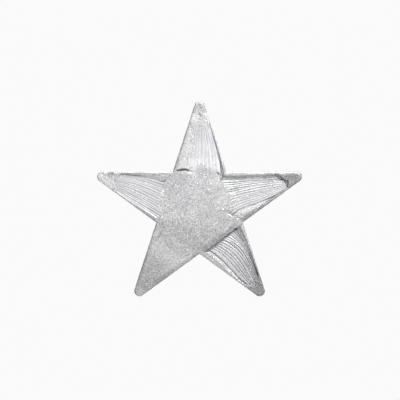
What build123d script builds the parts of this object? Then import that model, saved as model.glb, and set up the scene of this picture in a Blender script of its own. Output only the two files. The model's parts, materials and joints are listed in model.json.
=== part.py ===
"""A five-pointed hanging star of paper: a stiff star-shaped card faced with glitter paper, a rounded
rim along its whole edge, a pleated paper leaf on a plain underlay sunk inside the rim along each arm,
and a patch of glitter paper over the leaves' inner ends.

Millimetres, +Z up. The star hangs in the XZ plane with its front towards -Y. The origin is the centre
of the hanging hole near the top point, halfway through the card.
"""
import os
from collections import namedtuple
from math import cos, hypot, radians, sin, tan

from build123d import *

# The star's outline
POINTS = 5
APEX_RADIUS = 118.4  # star centre to where the straight edges of an arm would meet
NOTCH_RADIUS = 45.2  # star centre to the corner between two arms
TIP_ROUNDING = 5.0
NOTCH_ROUNDING = 0.8

# The three sheets that are laminated into the stiff star
CARD_THICKNESS = 2.0
FACE_PAPER_THICKNESS = 0.3
BACK_PAPER_THICKNESS = 0.3
BACK_PAPER_INSET = 1.5

# The hole for a hanging thread
HOLE_RADIUS = 1.0
HOLE_TO_CENTRE = 93.0  # hole centre to star centre

# The rim along the star's edge
RIM_WIDTH = 3.6
RIM_HEIGHT = 3.0
RIM_ROUNDING = 1.4
RIM_CLEARANCE = 0.2  # between the rim and the sheets inside it

# The plain sheet and the pleated leaf on each arm
UNDERLAY_THICKNESS = 0.25
UNDERLAY_END = 88.0  # star centre to an underlay's outer end
LEAF_PAPER = 0.3
PLEAT_DEPTH = 1.2
CROWN = 0.8  # how much higher the middle of a leaf stands than its sides
TIP_CROWN = 0.4
LEAF_START = 20.0  # star centre to a leaf's inner end
LEAF_GAP = 1.0  # from a leaf's inner end to the line between two arms
WIDE_PLACE = 40.0  # star centre to where a leaf is widest
MIDDLE_PLACE = 65.0  # star centre to a leaf's middle
GLUE_GAP = 0.05

# The pad and the glitter patch over the star's middle
PAD_CLEARANCE = 1.0
PATCH_THICKNESS = 0.5
PATCH_ROUNDING = 12.0

# Each arm in turn, clockwise as the front is seen. An arm's near side is the one met first going
# clockwise, and its far side the one met last. The margins are what its leaf leaves free between
# itself and the rim: at the leaf's widest place, at its middle and at its outer end.
Arm = namedtuple("Arm", "name pleats patch_reach near_margins far_margins leaf_end")
ARMS = [
    Arm("top", 10, 38.0, near_margins=(1.0, 0.0, 0.0), far_margins=(1.5, 0.0, 0.0), leaf_end=88.0),
    Arm("upper_right", 12, 27.0, near_margins=(3.0, 1.0, 1.0), far_margins=(8.5, 1.5, 0.5), leaf_end=89.0),
    Arm("lower_right", 14, 37.5, near_margins=(3.5, 0.8, 0.2), far_margins=(4.2, 1.8, 0.2), leaf_end=96.0),
    Arm("lower_left", 12, 36.0, near_margins=(1.0, 0.2, 0.2), far_margins=(4.0, 0.6, 0.2), leaf_end=94.0),
    Arm("upper_left", 14, 36.0, near_margins=(1.0, 0.2, 0.2), far_margins=(8.0, 1.5, 0.2), leaf_end=92.0),
]

# Depths, as the Y of each face. The front is towards -Y.
CARD_FRONT = -CARD_THICKNESS / 2
CARD_BACK = CARD_THICKNESS / 2
FACE_FRONT = CARD_FRONT - FACE_PAPER_THICKNESS
UNDERLAY_FRONT = FACE_FRONT - UNDERLAY_THICKNESS
LEAF_BACK = UNDERLAY_FRONT - GLUE_GAP
LEAF_FRONT = LEAF_BACK - CROWN - PLEAT_DEPTH - LEAF_PAPER
RIM_FRONT = FACE_FRONT - RIM_HEIGHT
PATCH_BACK = min(LEAF_FRONT, RIM_FRONT) - GLUE_GAP

STEP_ANGLE = 360 / POINTS


def arm_half_width(u):
    """Half the card's width across an arm, at u from the star's centre along it."""
    notch_u = NOTCH_RADIUS * cos(radians(STEP_ANGLE / 2))
    notch_v = NOTCH_RADIUS * sin(radians(STEP_ANGLE / 2))
    return notch_v * (APEX_RADIUS - u) / (APEX_RADIUS - notch_u)


def inside_rim(u):
    """Half the free width inside the rim across an arm, at u from the star's centre."""
    notch_u = NOTCH_RADIUS * cos(radians(STEP_ANGLE / 2))
    slope = arm_half_width(notch_u) / (APEX_RADIUS - notch_u)
    return arm_half_width(u) - (RIM_WIDTH + RIM_CLEARANCE) * hypot(1, slope)


def place(arm, u, v, y):
    """The point u along an arm from the star's centre and v across it, clockwise, at depth y."""
    turn = radians(STEP_ANGLE * arm)
    x = u * sin(turn) + v * cos(turn)
    z = u * cos(turn) - v * sin(turn) - HOLE_TO_CENTRE
    return (x, y, z)


def face_from(points):
    return make_face(Polyline(*points, close=True).edges())


def plate(face, back, front):
    """A flat sheet with that face, from Y back to Y front."""
    return extrude(face, amount=back - front, dir=(0, -1, 0))


def star_face(y):
    """The star's outline as a face at depth y, with its points and notches rounded."""
    corners = []
    for arm in range(POINTS):
        corners.append(place(arm, APEX_RADIUS, 0, y))
        corners.append(place(arm + 0.5, NOTCH_RADIUS, 0, y))
    radii = [TIP_ROUNDING, NOTCH_ROUNDING] * POINTS
    return make_face(FilletPolyline(*corners, radius=radii, close=True).edges())


def hanging_hole():
    """A cutter that goes well past all the laminated sheets."""
    length = 4 * (CARD_THICKNESS + FACE_PAPER_THICKNESS + BACK_PAPER_THICKNESS)
    return Cylinder(HOLE_RADIUS, length, rotation=(90, 0, 0))


def star_card():
    return plate(star_face(CARD_BACK), CARD_BACK, CARD_FRONT) - hanging_hole()


def face_paper():
    return plate(star_face(CARD_FRONT), CARD_FRONT, FACE_FRONT) - hanging_hole()


def back_paper():
    """The paper on the back stays a little inside the card's edge."""
    back = CARD_BACK + BACK_PAPER_THICKNESS
    return plate(offset(star_face(back), amount=-BACK_PAPER_INSET), back, CARD_BACK) - hanging_hole()


def rim():
    """The rounded rim that is glued along the edge of the face paper."""
    outline = star_face(FACE_FRONT)
    ring = plate(outline - offset(outline, amount=-RIM_WIDTH), FACE_FRONT, RIM_FRONT)
    front_edges = ring.edges().filter_by_position(Axis.Y, RIM_FRONT, RIM_FRONT)
    return fillet(front_edges, RIM_ROUNDING)


def inner_half_width():
    """Half the width of every sheet's inner end."""
    return LEAF_START * tan(radians(STEP_ANGLE / 2)) - LEAF_GAP


def underlay(index):
    """The plain sheet that is glued to the face paper under a leaf."""
    stations = [(LEAF_START, inner_half_width())]
    stations += [(u, inside_rim(u)) for u in (WIDE_PLACE, UNDERLAY_END)]
    near_side = [place(index, u, -half, FACE_FRONT) for u, half in stations]
    far_side = [place(index, u, half, FACE_FRONT) for u, half in stations]
    return plate(face_from(near_side + far_side[::-1]), FACE_FRONT, UNDERLAY_FRONT)


def pleat_section(index, pleats, u, near, far, crown):
    """The section of a pleated sheet at u along its arm: a zigzag from its near to its far side."""
    folds = 2 * pleats
    back_points = []
    front_points = []
    for fold in range(folds + 1):
        share = fold / folds
        v = near + (far - near) * share
        ridge = PLEAT_DEPTH if fold % 2 else 0
        y = LEAF_BACK - ridge - crown * (1 - (2 * share - 1) ** 2)
        back_points.append(place(index, u, v, y))
        front_points.append(place(index, u, v, y - LEAF_PAPER))
    return face_from(back_points + front_points[::-1])


def leaf(index, arm):
    """The pleated leaf of an arm, whose pleats draw together towards its outer end."""
    inner = inner_half_width()
    sections = [pleat_section(index, arm.pleats, LEAF_START, -inner, inner, CROWN)]
    crowns = (CROWN, CROWN, TIP_CROWN)
    places = (WIDE_PLACE, MIDDLE_PLACE, arm.leaf_end)
    for u, near_margin, far_margin, crown in zip(places, arm.near_margins, arm.far_margins, crowns):
        half = inside_rim(u)
        sections.append(pleat_section(index, arm.pleats, u, near_margin - half, half - far_margin, crown))
    return loft(sections, ruled=True)


def centre_pad():
    """The soft pad that fills the middle, between the leaves' inner ends."""
    corner = (LEAF_START - PAD_CLEARANCE) / cos(radians(STEP_ANGLE / 2))
    corners = [place(arm + 0.5, corner, 0, FACE_FRONT) for arm in range(POINTS)]
    return plate(face_from(corners), FACE_FRONT, PATCH_BACK + GLUE_GAP)


def patch_corner(index):
    """Where the patch's side across an arm meets its side across the next arm."""
    reach = ARMS[index].patch_reach
    next_reach = ARMS[(index + 1) % POINTS].patch_reach
    step = radians(STEP_ANGLE)
    across = (next_reach - reach * cos(step)) / sin(step)
    return place(index, reach, across, PATCH_BACK)


def centre_patch():
    """The glitter paper that covers the pad and the leaves' inner ends."""
    corners = [patch_corner(index) for index in range(POINTS)]
    outline = FilletPolyline(*corners, radius=PATCH_ROUNDING, close=True)
    return plate(make_face(outline.edges()), PATCH_BACK, PATCH_BACK - PATCH_THICKNESS)


def main():
    os.makedirs("parts", exist_ok=True)
    nodes = {
        "star_card": star_card(),
        "face_paper": face_paper(),
        "back_paper": back_paper(),
        "rim": rim(),
        "centre_pad": centre_pad(),
        "centre_patch": centre_patch(),
    }
    for index, arm in enumerate(ARMS):
        nodes[f"underlay_{arm.name}"] = underlay(index)
        nodes[f"leaf_{arm.name}"] = leaf(index, arm)
    for name, shape in nodes.items():
        export_step(shape, f"parts/{name}.step")


main()
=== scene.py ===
"""The looks of a hanging paper star: its glittered rim and middle, pleated leaves and lined back."""
import itertools
import json
from math import atan2, cos, pi, radians, sin, tan

import bpy
import numpy as np
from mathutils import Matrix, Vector
from mathutils.bvhtree import BVHTree

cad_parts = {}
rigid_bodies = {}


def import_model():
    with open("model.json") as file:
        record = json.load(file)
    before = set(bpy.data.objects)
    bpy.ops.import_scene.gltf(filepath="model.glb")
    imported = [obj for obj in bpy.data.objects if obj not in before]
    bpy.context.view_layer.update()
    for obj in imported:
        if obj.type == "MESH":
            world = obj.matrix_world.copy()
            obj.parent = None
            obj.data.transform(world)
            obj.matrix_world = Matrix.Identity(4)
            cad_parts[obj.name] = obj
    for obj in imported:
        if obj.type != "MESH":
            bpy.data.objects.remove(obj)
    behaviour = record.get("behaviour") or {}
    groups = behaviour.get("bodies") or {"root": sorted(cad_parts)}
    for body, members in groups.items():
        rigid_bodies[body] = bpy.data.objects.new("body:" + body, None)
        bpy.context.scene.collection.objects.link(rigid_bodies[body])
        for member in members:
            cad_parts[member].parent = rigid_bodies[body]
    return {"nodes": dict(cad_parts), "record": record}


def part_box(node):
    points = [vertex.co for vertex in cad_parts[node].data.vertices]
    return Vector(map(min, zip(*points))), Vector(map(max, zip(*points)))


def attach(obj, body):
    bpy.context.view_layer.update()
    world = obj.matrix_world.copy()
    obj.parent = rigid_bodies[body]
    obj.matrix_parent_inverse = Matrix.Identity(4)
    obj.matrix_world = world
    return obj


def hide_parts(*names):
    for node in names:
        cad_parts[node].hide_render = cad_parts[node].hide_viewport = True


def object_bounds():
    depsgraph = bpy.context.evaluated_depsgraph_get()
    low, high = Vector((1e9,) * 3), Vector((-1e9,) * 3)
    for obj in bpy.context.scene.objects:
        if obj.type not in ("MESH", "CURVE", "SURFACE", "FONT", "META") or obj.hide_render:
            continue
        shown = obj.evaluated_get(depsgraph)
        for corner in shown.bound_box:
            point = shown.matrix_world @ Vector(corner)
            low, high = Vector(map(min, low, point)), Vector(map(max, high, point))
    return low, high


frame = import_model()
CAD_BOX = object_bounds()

bl_info = {
    "name": "Paper star",
    "version": (1, 0, 0),
    "blender": (4, 5, 0),
    "location": "View3D > Sidebar > Paper star",
    "description": "Makes the glittered rim, the pleated leaves and the glitter of a hanging paper star",
    "category": "Object",
}

MM = 0.001
ARMS = ("top", "upper_right", "lower_right", "lower_left", "upper_left")
STEP_ANGLE = radians(360 / len(ARMS))
MOUNTS = {mount["name"]: mount for mount in frame["record"]["mounts"]}
CENTRE_Z = MOUNTS["back_face"]["pos_m"][2]

# The card's outline, as it is cut
APEX_RADIUS = 118.4 * MM
NOTCH_RADIUS = 45.2 * MM
TIP_ROUNDING = 5.0 * MM
NOTCH_U = NOTCH_RADIUS * cos(STEP_ANGLE / 2)
NOTCH_V = NOTCH_RADIUS * sin(STEP_ANGLE / 2)
SIDE_ANGLE = atan2(NOTCH_V, APEX_RADIUS - NOTCH_U)
TIP_CENTRE_U = APEX_RADIUS - TIP_ROUNDING / sin(SIDE_ANGLE)

# The hanging hole, on the top arm
HOLE_RADIUS = MOUNTS["hanging_hole"]["dims"]["r_mm"] * MM
HOLE_Z = MOUNTS["hanging_hole"]["pos_m"][2]
HOLE_U = HOLE_Z - CENTRE_Z
CAP_OPENING = 0.5 * HOLE_RADIUS  # the crust closes in a little round the hole

# Where the layers lie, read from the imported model. The front is towards -Y.
FACE_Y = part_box("face_paper")[0].y
RIM_FRONT_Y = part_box("rim")[0].y
PATCH_BACK_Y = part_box("centre_patch")[1].y
UNDERLAY_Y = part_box("underlay_top")[0].y

LATTICE = np.random.default_rng(7).random((32, 32, 32))


# ---- plain helpers

def ramp(value, low, high):
    """0 below low, 1 above high and smooth between. high may be the lower of the two."""
    share = np.clip((np.asarray(value, float) - low) / (high - low), 0, 1)
    return share * share * (3 - 2 * share)


def mix(a, b, share):
    return a + (b - a) * share


def rounded(share):
    """The height of a quarter circle, 0 at 0 and 1 from 1 on."""
    return np.sqrt(1 - (1 - np.clip(share, 0, 1)) ** 2)


def in_plane(x, z):
    """Points in a plane across Y, for noise to be read at."""
    return np.stack([np.ravel(x), np.zeros(np.size(x)), np.ravel(z)], axis=1)


def soft_noise(points, grain):
    """Smooth noise from -1 to 1 at each point, with lumps about as large as grain."""
    scaled = np.asarray(points, float) / grain
    base = np.floor(scaled).astype(int)
    inside = scaled - base
    inside = inside * inside * (3 - 2 * inside)
    total = np.zeros(len(scaled))
    for corner in itertools.product((0, 1), repeat=3):
        weight = np.prod(np.where(corner, inside, 1 - inside), axis=1)
        cell = (base + corner) % len(LATTICE)
        total += weight * LATTICE[cell[:, 0], cell[:, 1], cell[:, 2]]
    return 2 * total - 1


def star_xz(arm, u, v):
    """X and Z of a point u along an arm from the star's centre and v across it, clockwise."""
    turn = STEP_ANGLE * arm
    return u * sin(turn) + v * cos(turn), CENTRE_Z + u * cos(turn) - v * sin(turn)


def arm_uv(arm, x, z):
    """The reverse of star_xz."""
    turn = STEP_ANGLE * arm
    height = z - CENTRE_Z
    return x * sin(turn) + height * cos(turn), x * cos(turn) - height * sin(turn)


def nearest_arm(x, z):
    """The index of the arm that each point lies on."""
    angle = np.arctan2(x, z - CENTRE_Z)
    return np.round(angle / STEP_ANGLE).astype(int) % len(ARMS)


def half_width(u):
    """Half the card's width across an arm."""
    return (APEX_RADIUS - u) * tan(SIDE_ANGLE)


def mesh_arrays(mesh):
    """A mesh's points, and its triangles as three arrays of their corners' places."""
    mesh.calc_loop_triangles()
    points = np.zeros(len(mesh.vertices) * 3)
    mesh.vertices.foreach_get("co", points)
    corners = np.zeros(len(mesh.loop_triangles) * 3, int)
    mesh.loop_triangles.foreach_get("vertices", corners)
    points = points.reshape(-1, 3)
    return points, [points[corners.reshape(-1, 3)[:, index]] for index in range(3)]


def inside_out(mesh):
    """Whether a closed mesh's faces look inwards."""
    points, (a, b, c) = mesh_arrays(mesh)
    middle = points.mean(axis=0)
    return np.einsum("ij,ij->i", a - middle, np.cross(b - middle, c - middle)).sum() < 0


def new_mesh(name, points, faces, smooth=True):
    mesh = bpy.data.meshes.new(name)
    mesh.from_pydata(np.asarray(points).tolist(), [], faces)
    mesh.update()
    if inside_out(mesh):
        mesh.flip_normals()
    mesh.polygons.foreach_set("use_smooth", [smooth] * len(mesh.polygons))
    piece = bpy.data.objects.new(name, mesh)
    bpy.context.scene.collection.objects.link(piece)
    return piece


def finish_piece(piece, materials, replaced=()):
    """Gives a piece its finish and lets it ride on the star."""
    for material in materials:
        piece.data.materials.append(material)
    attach(piece, "root")
    if replaced:
        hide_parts(*replaced)
    return piece


def grid_faces(rows, columns):
    """Quads of a grid whose points run row by row, with their front towards -Y when u runs up."""
    faces = []
    for row in range(rows - 1):
        for column in range(columns - 1):
            first = row * columns + column
            faces.append((first, first + 1, first + columns + 1, first + columns))
    return faces


def grid_edge(rows, columns):
    """The indices round a grid's edge, in the order its faces turn."""
    bottom = list(range(columns))
    right = [row * columns + columns - 1 for row in range(1, rows)]
    top = [(rows - 1) * columns + column for column in range(columns - 2, -1, -1)]
    left = [row * columns for row in range(rows - 2, 0, -1)]
    return bottom + right + top + left


def closed_sheet(name, points, faces, edge, thickness):
    """A closed sheet of paper: the given front, a back that far behind it, and a wall round its edge."""
    count = len(points)
    back = np.asarray(points) + (0, thickness, 0)
    walls = []
    for start, end in zip(edge, edge[1:] + edge[:1]):
        walls.append((end, start, start + count, end + count))
    backs = [tuple(index + count for index in reversed(face)) for face in faces]
    return new_mesh(name, np.vstack([points, back]), list(faces) + backs + walls)


def point_value(piece, name, values):
    """Stores one number for each point of a piece, for its material to read."""
    layer = piece.data.attributes.new(name, "FLOAT", "POINT")
    layer.data.foreach_set("value", np.asarray(values, dtype=np.float32))


def sheet_values(piece, **values):
    """Stores numbers for a closed sheet's front points, and the same ones for its back."""
    for name, numbers in values.items():
        point_value(piece, name, np.tile(np.ravel(numbers), 2))


# ---- materials

FINE_TOOTH = 0.0002  # how high the lines and layers of paper stand, in metres
SILVER_BLUE = 1.01  # silver's blue beside its red and green
FLAKE_CELLS = 1100.0  # cells to a metre in the pattern of dusted glitter


def input_name(key):
    return key.replace("_", " ").title()


class NodeTree:
    """The nodes of a material or a world, and how they are joined."""

    def __init__(self, owner):
        owner.use_nodes = True
        self.nodes = owner.node_tree.nodes
        self.links = owner.node_tree.links

    def first(self, kind):
        """The tree's first node of that type."""
        return next(node for node in self.nodes if node.type == kind)

    def feed(self, socket, source):
        """Leads another node's output to a socket, or gives the socket a value."""
        if isinstance(source, bpy.types.NodeSocket):
            self.links.new(source, socket)
        else:
            socket.default_value = source

    def node(self, kind, **sources):
        """A new node. Each source feeds the input that it names, or else sets the node's own setting."""
        made = self.nodes.new(kind)
        for key, source in sources.items():
            if input_name(key) in made.inputs:
                self.feed(made.inputs[input_name(key)], source)
            else:
                setattr(made, key, source)
        return made

    def maths(self, kind, operation, *sources):
        """The outcome of a maths node whose inputs are fed in turn."""
        made = self.node(kind, operation=operation)
        for socket, source in zip(made.inputs, sources):
            self.feed(socket, source)
        return made.outputs[0]

    def span(self, value, from_min, from_max, to_min, to_max):
        """A value that goes from one range to another."""
        limits = dict(from_min=from_min, from_max=from_max, to_min=to_min, to_max=to_max)
        return self.node("ShaderNodeMapRange", value=value, **limits).outputs["Result"]


class Finish(NodeTree):
    """A material being built."""

    def __init__(self, name):
        self.material = bpy.data.materials.new(name)
        super().__init__(self.material)
        self.shader = self.first("BSDF_PRINCIPLED")

    def set(self, **sources):
        """Feeds the shader's inputs."""
        for key, source in sources.items():
            self.feed(self.shader.inputs[input_name(key)], source)

    def place(self, turn=0.0, scale=(1, 1, 1)):
        """Places on the piece, turned about Y and then scaled."""
        where = self.node("ShaderNodeTexCoord").outputs["Object"]
        turned = self.node("ShaderNodeVectorRotate", rotation_type="Y_AXIS", vector=where, angle=turn)
        return self.maths("ShaderNodeVectorMath", "MULTIPLY", turned.outputs["Vector"], scale)

    def noise(self, place, scale, detail=2.0):
        return self.node("ShaderNodeTexNoise", vector=place, scale=scale, detail=detail).outputs["Fac"]

    def tones(self, value, stops):
        """A grey for each value, from (value, grey) stops."""
        made = self.node("ShaderNodeValToRGB", fac=value)
        elements = made.color_ramp.elements
        elements.remove(elements[1])
        for index, (at, grey) in enumerate(stops):
            element = elements[0] if index == 0 else elements.new(at)
            element.position = at
            element.color = (grey, grey, grey * SILVER_BLUE, 1)
        return made.outputs["Color"]

    def blend(self, share, first, second, kind="MIX"):
        """Two colours mixed by share, or in another way of the mixing node."""
        made = self.node("ShaderNodeMix", data_type="RGBA", blend_type=kind)
        factor, colour_a, colour_b = (made.inputs[index] for index in (0, 6, 7))  # those for colours
        for socket, source in ((factor, share), (colour_a, first), (colour_b, second)):
            self.feed(socket, source)
        return made.outputs[2]

    def multiply(self, first, second):
        return self.blend(1.0, first, second, "MULTIPLY")

    def read(self, name):
        """The number that a piece stores for its points under that name."""
        return self.node("ShaderNodeAttribute", attribute_name=name).outputs["Fac"]

    def tone_share(self):
        """How light the glitter is at each place of a piece that has the value tone, and 1 elsewhere. The
        tone holds painted light and shade.
        """
        return self.span(self.read("tone"), -1, 1, 0.5, 1.5)

    def bump(self, height, strength, distance=FINE_TOOTH):
        made = self.node("ShaderNodeBump", strength=strength, distance=distance, height=height)
        return made.outputs["Normal"]

    def flake_cells(self, scale):
        """Cells of a flake's size: each cell's chance colour, and that colour's red and green."""
        colour = self.node("ShaderNodeTexVoronoi", vector=self.place(), scale=scale).outputs["Color"]
        parts = self.node("ShaderNodeSeparateColor", color=colour).outputs
        return colour, parts["Red"], parts["Green"]


def glitter_paper(name, light, dark, grain):
    """Paper crusted with glitter: each cell of the pattern is a flake with its own grey and tilt."""
    made = Finish(name)
    colour, red, green = made.flake_cells(1 / grain)
    flake_grey = made.tones(red, ((0.0, dark), (0.55, mix(dark, light, 0.55)), (1.0, light)))
    drift = made.tones(made.noise(made.place(), 90.0), ((0.3, 0.82), (0.7, 1.0)))
    tilt = made.maths("ShaderNodeVectorMath", "MULTIPLY_ADD", colour, [0.5] * 3, [-0.25] * 3)
    upright = made.node("ShaderNodeNewGeometry").outputs["Normal"]
    tilted = made.maths("ShaderNodeVectorMath", "ADD", upright, tilt)
    made.set(
        base_color=made.multiply(made.multiply(flake_grey, drift), made.tone_share()),
        normal=made.maths("ShaderNodeVectorMath", "NORMALIZE", tilted),
        roughness=made.span(green, 0, 1, 0.25, 0.6), metallic=0.25)
    return made.material


def sprinkled(made, paper):
    """The given paper colour with flakes on it, as thick as the piece's value dust says."""
    _, red, green = made.flake_cells(FLAKE_CELLS)
    flake_grey = made.multiply(made.tones(red, ((0.0, 0.26), (0.5, 0.44), (1.0, 0.66))), made.tone_share())
    chosen = made.maths("ShaderNodeMath", "LESS_THAN", green, made.read("dust"))
    return made.blend(chosen, paper, flake_grey)


def pleat_paper(name, arm, grey, fold_shade):
    """Silky pleated paper: fine lines along the arm, fold bottoms darkened as pressed fold lines and as
    painted shade in the valleys, and a dusting of glitter.
    """
    made = Finish(name)
    along = made.place(-STEP_ANGLE * arm, (1.0, 1.0, 0.06))
    streaks = made.noise(along, 1700.0, 3.0)
    broad = made.noise(along, 420.0)
    paper = made.tones(streaks, ((0.25, grey * 0.88), (0.5, grey), (0.8, grey * 1.1)))
    paper = made.multiply(paper, made.tones(broad, ((0.3, 0.9), (0.7, 1.0))))
    # Darker towards each fold's bottom: pressed fold lines, and painted shade in the valleys
    fold_shading = made.tones(made.read("fold"), ((0.0, fold_shade), (0.35, mix(fold_shade, 1, 0.65)), (0.7, 1.0)))
    # Darker by the darkening stored on the piece, which is partly painted shade
    paper = made.multiply(made.multiply(paper, fold_shading), made.span(made.read("dim"), 0, 1, 1, 0))
    made.set(
        base_color=sprinkled(made, paper), normal=made.bump(streaks, 0.35),
        roughness=made.span(broad, 0.3, 0.7, 0.34, 0.52), sheen_weight=0.15)
    return made.material


def plain_paper(name, arm, grey):
    """Smooth satin paper with faint lines along its arm, and glitter where it has been dusted."""
    made = Finish(name)
    lines = made.noise(made.place(-STEP_ANGLE * arm, (1.0, 1.0, 0.08)), 900.0)
    paper = made.tones(lines, ((0.25, grey * 0.93), (0.7, grey)))
    made.set(
        base_color=sprinkled(made, paper), normal=made.bump(lines, 0.2),
        roughness=made.span(lines, 0.3, 0.7, 0.35, 0.5))
    return made.material


def board(name):
    """Grey board, whose cut edge shows its pressed layers."""
    made = Finish(name)
    layers = made.noise(made.place(scale=(0.12, 1.0, 0.12)), 2600.0, 3.0)
    fibres = made.noise(made.place(), 700.0, 4.0)
    greys = made.tones(layers, ((0.25, 0.36), (0.5, 0.52), (0.75, 0.62)))
    made.set(
        base_color=made.multiply(greys, made.tones(fibres, ((0.3, 0.86), (0.6, 1.0)))),
        normal=made.bump(layers, 0.5), roughness=made.span(fibres, 0.3, 0.7, 0.75, 0.95))
    return made.material


def lining_paper(name, grey):
    """The white paper on the back: soft mottling, fine fibres and a slight tooth."""
    made = Finish(name)
    mottling = made.noise(made.place(), 60.0, 3.0)
    fibres = made.noise(made.place(scale=(1.0, 1.0, 0.25)), 1500.0, 4.0)
    base = made.tones(mottling, ((0.3, grey * 0.93), (0.65, grey)))
    made.set(
        base_color=made.multiply(base, made.tones(fibres, ((0.25, 0.93), (0.5, 1.0)))),
        normal=made.bump(fibres, 0.3, 0.0003), roughness=made.span(mottling, 0.3, 0.7, 0.5, 0.68))
    return made.material


def wadding(name):
    """Soft white wadding."""
    made = Finish(name)
    fluff = made.noise(made.place(), 500.0, 6.0)
    made.set(
        base_color=made.tones(fluff, ((0.3, 0.75), (0.7, 0.92))), normal=made.bump(fluff, 0.8, 0.0006),
        roughness=made.span(fluff, 0.3, 0.7, 0.9, 1.0))
    return made.material


def flake_foil(name, grey):
    """One shade of silver foil."""
    made = Finish(name)
    made.set(base_color=(grey, grey, grey * SILVER_BLUE, 1), metallic=0.3, roughness=0.42)
    return made.material


# ---- rim

# How far the rim's inner edge and the leaf's side are from the card's edge, in mm. Each table goes arm
# by arm, its near side and then its far side, at these distances along the arm.
STATIONS = (37, 45, 55, 65, 80, 92)
RIM_INNER = (
    ((4.0, 3.6, 3.2, 3.0, 3.0, 3.2), (4.0, 2.3, 1.6, 1.4, 1.5, 1.7)),
    ((5.2, 4.8, 4.3, 3.8, 3.5, 3.0), (3.4, 3.2, 3.0, 2.8, 2.2, 2.0)),
    ((5.0, 3.6, 2.4, 2.1, 1.7, 1.6), (6.5, 7.2, 6.4, 4.8, 2.6, 2.4)),
    ((3.4, 3.4, 3.4, 3.4, 3.4, 3.4), (4.4, 4.0, 3.6, 3.4, 3.4, 3.4)),
    ((5.4, 4.8, 3.8, 2.8, 2.2, 2.2), (5.0, 4.2, 3.6, 3.0, 2.2, 2.0)),
)
LEAF_SIDES = (
    ((2.7, 2.3, 1.9, 1.7, 1.7, 1.9), (5.2, 3.5, 2.3, 1.6, 1.5, 1.6)),
    ((8.6, 8.2, 7.6, 7.0, 6.4, 9.0), (12.8, 10.7, 7.6, 5.0, 2.2, 1.9)),
    ((7.2, 5.6, 4.3, 3.6, 2.5, 2.1), (8.0, 8.7, 7.8, 6.0, 3.4, 3.0)),
    ((2.1, 2.1, 2.1, 2.1, 2.1, 2.1), (3.1, 2.7, 2.3, 2.1, 2.1, 2.1)),
    ((4.2, 3.6, 2.7, 1.9, 1.4, 1.4), (12.0, 10.0, 7.0, 4.4, 2.8, 2.5)),
)
# Arm by arm, how far the rim's outer slope reaches in from the card's edge, in mm: near side, far side
RIM_SLOPES = ((3.0, 1.6), (1.6, 2.5), (1.6, 2.4), (2.2, 1.8), (3.0, 1.6))
# Arm by arm, where the rims turn in to meet before the tip, and have met, in mm: near side, far side
RIM_JOINS = (
    ((79, 86), (83, 87)), ((84, 92), (90, 94)), ((88, 96), (88, 96)),
    ((86, 93), (86, 93)), ((84, 91), (84, 91)),
)
END_SLOPE = 2.2  # how far the outer slope reaches at the tips and in the notches, in mm
INNER_ROUNDING = 1.7 * MM
RIM_ROWS = 110  # points along each side of an arm
ROLL_POINTS = 17  # across the rim's roll, and along its way round half of the hole
TIP_POINTS = 15


def of_side(pair, side):
    """The first of a pair on an arm's near side, where side is -1, and the second on its far side."""
    return pair[0] if side < 0 else pair[1]


def edge_distance(table, arm, side, u):
    """A distance from the card's edge at u, on one side of an arm."""
    return np.interp(np.asarray(u) / MM, STATIONS, of_side(table[arm], side)) * MM


def rim_side(arm, side):
    """One side's rim from notch to tip: outer and inner X and Z, how far the sides have met, and slope."""
    u = np.linspace(NOTCH_U, TIP_CENTRE_U + TIP_ROUNDING * sin(SIDE_ANGLE), RIM_ROWS)
    if ARMS[arm] == "top":
        round_hole = HOLE_U + CAP_OPENING * np.cos(np.linspace(0, pi, ROLL_POINTS))
        u = np.sort(np.concatenate([u, round_hole]))
    width = edge_distance(RIM_INNER, arm, side, u)
    met = ramp(u / MM, *of_side(RIM_JOINS[arm], side))
    free = np.maximum(half_width(u) - width / cos(SIDE_ANGLE), 0) * (1 - met)
    if ARMS[arm] == "top":
        free = np.maximum(free, np.sqrt(np.clip(CAP_OPENING ** 2 - (u - HOLE_U) ** 2, 0, None)))
    notch_share = 1 - width[0] / NOTCH_RADIUS
    settle = ramp(u, NOTCH_U, NOTCH_U + 7 * MM)
    inner_u = mix(NOTCH_U * notch_share, np.minimum(u, TIP_CENTRE_U), settle)
    inner_v = side * mix(NOTCH_V * notch_share, free, settle)
    ease = np.maximum(ramp(u, NOTCH_U + 6 * MM, NOTCH_U), ramp(u, 96 * MM, 104 * MM))
    slope = mix(of_side(RIM_SLOPES[arm], side), END_SLOPE, ease)
    outer = star_xz(arm, u, side * half_width(u))
    return np.column_stack([*outer, *star_xz(arm, inner_u, inner_v), met, slope])


def rim_tip(arm):
    """The same for the round of an arm's tip, from its near to its far side."""
    turns = np.linspace(-pi / 2 + SIDE_ANGLE, pi / 2 - SIDE_ANGLE, TIP_POINTS)[1:-1]
    x, z = star_xz(arm, TIP_CENTRE_U + TIP_ROUNDING * np.cos(turns), TIP_ROUNDING * np.sin(turns))
    inner_x, inner_z = star_xz(arm, TIP_CENTRE_U, 0.0)
    level = np.ones(len(turns))
    return np.column_stack([x, z, inner_x * level, inner_z * level, level, END_SLOPE * level])


def rim_stations():
    """The rim round the whole star: outer and inner edge, how far its sides have met, and its slope."""
    rows = []
    for arm in range(len(ARMS)):
        far = rim_side(arm, 1)[::-1]
        rows += [rim_side(arm, -1), rim_tip(arm), far[:-1]]
    rows = np.vstack(rows)
    return rows[:, :2], rows[:, 2:4], rows[:, 4], rows[:, 5] * MM


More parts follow.
